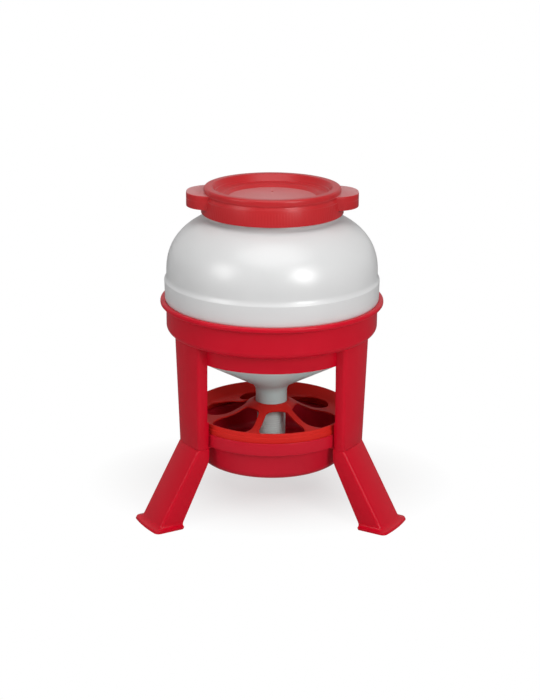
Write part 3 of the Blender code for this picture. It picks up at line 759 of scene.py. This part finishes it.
def make_lid():
    """Dished top, lip with a bead, flared skirt, two ears and the mark of the moulding gate."""
    loop = shell([
        (0.0, LID_DISH, 0.0),
        (LID_DISH_RADIUS, LID_DISH, LID_DISH_ROUND),
        (LID_DISH_RADIUS + LID_DISH_SLOPE, LID_STEP - LID_DISH_RIM_DROP, LID_DISH_ROUND),
        (LID_STEP_RADIUS, LID_STEP, LID_STEP_ROUND),
        (LID_LIP_INNER, LID_TOP, LID_LIP_INNER_ROUND),
        (LID_LIP_RADIUS, LID_TOP, LID_LIP_ROUND),
        (LID_LIP_RADIUS, LID_GROOVE + LID_BEAD_HEIGHT, LID_BEAD_ROUND),
        (LID_GROOVE_RADIUS, LID_GROOVE, LID_GROOVE_ROUND),
        (LID_SHOULDER_RADIUS, LID_SHOULDER, LID_SHOULDER_ROUND),
        (LID_SKIRT_RADIUS, LID_SKIRT_LOW, 0.0),
    ], LID_WALL, LID_SKIRT_END)
    lid = turned("lid_moulding", loop)
    for turn in (0.0, math.pi):
        combine(lid, make_ear(turn), "UNION")
    gate_top = LID_DISH + GATE_RISE
    gate = turned("gate", [(0.0, gate_top), (GATE_RADIUS * 0.7, gate_top),
                           (GATE_RADIUS, LID_DISH + GATE_RISE * 0.5), (GATE_RADIUS, LID_DISH - GATE_SINK),
                           (0.0, LID_DISH - GATE_SINK)], steps=GATE_STEPS)
    half_step = Matrix.Rotation(math.pi / GATE_STEPS, 4, "Z")
    gate.data.transform(Matrix.Translation((0.0, GATE_BACK, 0.0)) @ half_step)
    return combine(lid, gate, "UNION")


# Plastics

class Nodes:
    """Small helper that wires a material's nodes."""

    def __init__(self, name):
        self.mat = bpy.data.materials.new(name)
        self.mat.use_nodes = True
        self.tree = self.mat.node_tree
        self.shader = self.tree.nodes["Principled BSDF"]
        self.place = self.add("ShaderNodeTexCoord").outputs["Object"]

    def add(self, kind, **values):
        """New node with its settings."""
        node = self.tree.nodes.new(kind)
        for key, value in values.items():
            setattr(node, key, value)
        return node

    def link(self, source, target):
        """Wire one socket to another."""
        self.tree.links.new(source, target)

    def noise(self, scale, detail=3.0, rough=0.5):
        """Noise fixed to the piece."""
        node = self.add("ShaderNodeTexNoise")
        node.inputs["Scale"].default_value = scale
        node.inputs["Detail"].default_value = detail
        node.inputs["Roughness"].default_value = rough
        self.link(self.place, node.inputs["Vector"])
        return node.outputs["Fac"]

    def spread(self, source, low, high, from_low, from_high):
        """Map a value from one range to another, clamped."""
        node = self.add("ShaderNodeMapRange")
        node.inputs["From Min"].default_value = from_low
        node.inputs["From Max"].default_value = from_high
        node.inputs["To Min"].default_value = low
        node.inputs["To Max"].default_value = high
        self.link(source, node.inputs["Value"])
        return node.outputs["Result"]

    def mix(self, factor, first, second):
        """Mix of two plain colours."""
        node = self.add("ShaderNodeMix", data_type="RGBA")
        node.inputs[6].default_value = (*first, 1.0)
        node.inputs[7].default_value = (*second, 1.0)
        self.link(factor, node.inputs[0])
        return node.outputs[2]

    def blend(self, factor, first, second):
        """Mix from a linked colour to a plain one."""
        node = self.add("ShaderNodeMix", data_type="RGBA")
        node.inputs[7].default_value = (*second, 1.0)
        self.link(factor, node.inputs[0])
        self.link(first, node.inputs[6])
        return node.outputs[2]

    def math(self, operation, first, second=None):
        """One sum on linked values or plain numbers."""
        node = self.add("ShaderNodeMath", operation=operation)
        for socket, value in zip(node.inputs, (first, second)):
            if value is None:
                continue
            if isinstance(value, (int, float)):
                socket.default_value = value
            else:
                self.link(value, socket)
        return node.outputs[0]


def rubbed_edges(n, share):
    """Mask of the outward edges, broken up by noise, where handling has rubbed the plastic."""
    shape = n.add("ShaderNodeNewGeometry")
    edge = n.spread(shape.outputs["Pointiness"], 0.0, 1.0, *POINTED)
    broken = n.spread(n.noise(*WORN_NOISE), 0.25, 1.0, 0.4, 0.65)
    return n.math("MULTIPLY", n.math("MULTIPLY", edge, broken), share)


def plastic(name, tones, roughness, gloss_level, grain=GRAIN, ribs=0.0):
    """Moulded plastic: pigment drift, uneven gloss, rubbed edges, a fine grain and slow sink marks."""
    n = Nodes(name)
    colour, shade, rubbed = tones
    drift = n.spread(n.noise(*PIGMENT_NOISE), 0.0, 1.0, 0.3, 0.7)
    worn = rubbed_edges(n, WORN_SHARE)
    n.colour = n.blend(worn, n.mix(drift, colour, shade), rubbed)
    n.link(n.colour, n.shader.inputs["Base Color"])
    low, high = (roughness + change for change in GLOSS_SPREAD)
    rough = n.spread(n.noise(*GLOSS_NOISE), low, high, 0.3, 0.7)
    n.link(n.math("ADD", rough, n.math("MULTIPLY", worn, WORN_ROUGHNESS)), n.shader.inputs["Roughness"])
    n.shader.inputs["IOR"].default_value = PLASTIC_IOR
    n.shader.inputs["Specular IOR Level"].default_value = gloss_level
    height = n.math("MULTIPLY", n.noise(*GRAIN_NOISE), grain)
    sink = n.math("MULTIPLY", n.noise(*SINK_NOISE), SINK_MARKS)
    height = n.math("ADD", height, sink)
    if ribs:
        height = n.math("ADD", height, rib_height(n, ribs))
    bump = n.add("ShaderNodeBump")
    bump.inputs["Distance"].default_value = 1.0
    bump.inputs["Strength"].default_value = BUMP_STRENGTH
    n.link(height, bump.inputs["Height"])
    n.link(bump.outputs["Normal"], n.shader.inputs["Normal"])
    return n


def rib_height(n, depth):
    """Fine upright ribs round the lid's skirt, for grip."""
    parts = n.add("ShaderNodeSeparateXYZ")
    n.link(n.place, parts.inputs["Vector"])
    x, y, z = (parts.outputs[axis] for axis in "XYZ")
    wave = n.math("SINE", n.math("MULTIPLY", n.math("ARCTAN2", y, x), RIB_TURN))
    low = n.spread(z, 0.0, 1.0, *(LID_SKIRT_LOW + rise for rise in RIB_FADE_LOW))
    high = n.spread(z, 1.0, 0.0, *(LID_SHOULDER - drop for drop in RIB_FADE_HIGH))
    reach = n.math("SQRT", n.math("ADD", n.math("MULTIPLY", x, x), n.math("MULTIPLY", y, y)))
    outside = n.spread(reach, 0.0, 1.0, *RIB_INNER_FADE)
    inside = n.spread(reach, 1.0, 0.0, *RIB_OUTER_FADE)
    mask = n.math("MULTIPLY", n.math("MULTIPLY", low, high), n.math("MULTIPLY", outside, inside))
    return n.math("MULTIPLY", n.math("MULTIPLY", wave, mask), depth)


def lid_plastic():
    """The lid's red, with fine ribs round its skirt and a matt texture on its dish and on its ears' tops."""
    n = plastic("lid_red_moulding", LID_RED, roughness=0.315, gloss_level=0.4, ribs=RIB_DEPTH)
    parts = n.add("ShaderNodeSeparateXYZ")
    n.link(n.place, parts.inputs["Vector"])
    flats = []
    for height in (LID_DISH, EAR_TOP):
        off = n.math("ABSOLUTE", n.math("SUBTRACT", parts.outputs["Z"], height))
        flats.append(n.spread(off, 1.0, 0.0, *LID_MATT_FADE))
    flat = n.math("MAXIMUM", *flats)
    n.link(n.math("MULTIPLY", flat, LID_MATT), n.shader.inputs["Sheen Weight"])
    n.shader.inputs["Sheen Roughness"].default_value = LID_MATT_ROUGHNESS
    return n.mat


def hopper_plastic():
    """White polyethylene that lets a little light in. The funnel is painted a cooler white that cancels the
    red light the stand bounces onto it.
    """
    n = plastic("white_blow_moulding", HOPPER_WHITE, roughness=0.315, gloss_level=1.0, grain=HOPPER_GRAIN)
    parts = n.add("ShaderNodeSeparateXYZ")
    n.link(n.place, parts.inputs["Vector"])
    # Painted cool tint on the funnel: it cancels the red light that the stand bounces onto it
    cool = n.spread(parts.outputs["Z"], 1.0, 0.0, *FUNNEL_FADE)
    n.link(n.blend(cool, n.colour, FUNNEL_PAINTED_COOL_WHITE), n.shader.inputs["Base Color"])
    n.shader.inputs["Subsurface Weight"].default_value = HOPPER_GLOW
    n.shader.inputs["Subsurface Radius"].default_value = (1.0, 1.0, 1.0)
    n.shader.inputs["Subsurface Scale"].default_value = HOPPER_GLOW_DEPTH
    return n.mat


red = plastic("red_moulding", RED, roughness=0.32, gloss_level=0.22).mat
pan_red = plastic("pan_red_moulding", PAN_RED, roughness=0.34, gloss_level=0.22).mat
grille_red = plastic("grille_orange_red_moulding", GRILLE_RED, roughness=0.45, gloss_level=0.10).mat
lid_red = lid_plastic()
# The tube's colour carries a painted blue-green tint against the red light bounced inside the stand
tube_white = plastic("tube_moulding", TUBE_PAINTED_COOL_WHITE, roughness=0.36, gloss_level=0.5).mat
white = hopper_plastic()


# Pieces on their bodies

def settle(obj, mat, body, node):
    """Give a piece its material and shading, and let it ride its body and stand for its node."""
    obj.data.materials.clear()
    obj.data.materials.append(mat)
    for face in obj.data.polygons:
        face.material_index = 0
    obj.data.shade_smooth()
    obj.data.set_sharp_from_angle(angle=SMOOTH_BELOW)
    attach(obj, body)
    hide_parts(node)


settle(make_holder(), red, "stand", "holder")
for leg in LEG_AZIMUTHS:
    settle(make_foot(leg), red, "stand", "foot_" + leg)
settle(make_pan(), pan_red, "stand", "pan")
settle(make_grille(), grille_red, "grille", "grille")
settle(make_hopper(), white, "hopper", "hopper")
settle(make_regulator(), tube_white, "regulator", "regulator_tube")
settle(make_lid(), lid_red, "lid", "lid")

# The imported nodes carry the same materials
NODE_FINISH = {"holder": red, "foot_left": red, "foot_right": red, "foot_rear": red, "pan": pan_red,
               "grille": grille_red, "hopper": white, "regulator_tube": tube_white, "lid": lid_red}
for node_name, node_mat in NODE_FINISH.items():
    for node_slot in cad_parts[node_name].material_slots:
        node_slot.material = node_mat


# Floor, light and camera

def make_floor():
    """White floor that keeps a soft shadow near the feeder and goes to plain white away from it."""
    turns = ((-1, -1), (1, -1), (1, 1), (-1, 1))
    corners = [(FLOOR_REACH * x, FLOOR_REACH * y, 0.0) for x, y in turns]
    floor = mesh_object("floor", corners, [(0, 1, 2, 3)])
    n = Nodes("floor_white")
    n.shader.inputs["Base Color"].default_value = (FLOOR_GREY, FLOOR_GREY, FLOOR_GREY, 1.0)
    n.shader.inputs["Roughness"].default_value = 0.9
    n.shader.inputs["Specular IOR Level"].default_value = 0.0
    oval = n.add("ShaderNodeMapping")
    oval.inputs["Scale"].default_value = SHADOW_OVAL
    n.link(n.place, oval.inputs["Vector"])
    reach = n.add("ShaderNodeVectorMath", operation="DISTANCE")
    n.link(oval.outputs["Vector"], reach.inputs[0])
    reach.inputs[1].default_value = SHADOW_CENTRE
    far = n.spread(reach.outputs["Value"], FLOOR_LIFT, 1.0, *SHADOW_FADE)
    rays = n.add("ShaderNodeLightPath")
    seen = n.math("MAXIMUM", rays.outputs["Is Camera Ray"], rays.outputs["Is Transmission Ray"])
    glow = n.add("ShaderNodeEmission")
    glow.inputs["Color"].default_value = (1.0, 1.0, 1.0, 1.0)
    blend = n.add("ShaderNodeMixShader")
    n.link(n.math("MULTIPLY", far, seen), blend.inputs[0])
    n.link(n.shader.outputs[0], blend.inputs[1])
    n.link(glow.outputs[0], blend.inputs[2])
    mirrored = n.add("ShaderNodeEmission")
    mirrored.inputs["Strength"].default_value = FLOOR_MIRRORED
    shown = n.add("ShaderNodeMixShader")
    n.link(rays.outputs["Is Glossy Ray"], shown.inputs[0])
    n.link(blend.outputs[0], shown.inputs[1])
    n.link(mirrored.outputs[0], shown.inputs[2])
    n.link(shown.outputs[0], n.tree.nodes["Material Output"].inputs["Surface"])
    floor.data.materials.append(n.mat)


def make_world(front, back):
    """A white backdrop for the camera. Its light comes mostly from behind, less from the front."""
    world = bpy.data.worlds.new("studio")
    bpy.context.scene.world = world
    world.use_nodes = True
    tree = world.node_tree
    tree.nodes.clear()
    way = tree.nodes.new("ShaderNodeTexCoord")
    parts = tree.nodes.new("ShaderNodeSeparateXYZ")
    tree.links.new(way.outputs["Generated"], parts.inputs["Vector"])
    level = tree.nodes.new("ShaderNodeMapRange")
    level.interpolation_type = "SMOOTHSTEP"
    level.inputs["From Min"].default_value = BACKDROP_FADE[0]
    level.inputs["From Max"].default_value = BACKDROP_FADE[1]
    level.inputs["To Min"].default_value = front
    level.inputs["To Max"].default_value = back
    tree.links.new(parts.outputs["Y"], level.inputs["Value"])
    soft = tree.nodes.new("ShaderNodeBackground")
    soft.inputs["Color"].default_value = (1.0, 1.0, 1.0, 1.0)
    tree.links.new(level.outputs["Result"], soft.inputs["Strength"])
    rays = tree.nodes.new("ShaderNodeLightPath")
    seen = tree.nodes.new("ShaderNodeMath")
    seen.operation = "MAXIMUM"
    tree.links.new(rays.outputs["Is Camera Ray"], seen.inputs[0])
    tree.links.new(rays.outputs["Is Transmission Ray"], seen.inputs[1])
    white_sky = tree.nodes.new("ShaderNodeBackground")
    white_sky.inputs["Color"].default_value = (1.0, 1.0, 1.0, 1.0)
    blend = tree.nodes.new("ShaderNodeMixShader")
    output = tree.nodes.new("ShaderNodeOutputWorld")
    tree.links.new(seen.outputs[0], blend.inputs[0])
    tree.links.new(soft.outputs[0], blend.inputs[1])
    tree.links.new(white_sky.outputs[0], blend.inputs[2])
    tree.links.new(blend.outputs[0], output.inputs["Surface"])


def lamp(name, spot, aim, width, height, watts):
    """Soft oval lamp that looks at its aim."""
    light = bpy.data.lights.new(name, "AREA")
    light.shape = "ELLIPSE"
    light.size = width
    light.size_y = height
    light.energy = watts
    obj = bpy.data.objects.new(name, light)
    obj.location = spot
    obj.rotation_mode = "QUATERNION"
    obj.rotation_quaternion = (Vector(aim) - Vector(spot)).to_track_quat("-Z", "Y")
    bpy.context.scene.collection.objects.link(obj)


def make_camera():
    """The camera that was fitted to the photograph's outlines."""
    data = bpy.data.cameras.new("photo_camera")
    data.lens = CAMERA_LENS
    data.sensor_width = CAMERA_SENSOR
    data.clip_end = 100.0
    camera = bpy.data.objects.new("photo_camera", data)
    camera.rotation_mode = "QUATERNION"
    tilt = Matrix.Rotation(math.radians(90.0) - CAMERA_DOWN, 4, "X") @ Matrix.Rotation(CAMERA_ROLL, 4, "Z")
    camera.matrix_world = Matrix.Translation(CAMERA_PLACE) @ tilt
    bpy.context.scene.collection.objects.link(camera)
    bpy.context.scene.camera = camera


make_floor()
make_world(*BACKDROP_LIGHT)
for lamp_values in LAMPS:
    lamp(*lamp_values)
make_camera()
bpy.context.scene.view_settings.view_transform = "Standard"
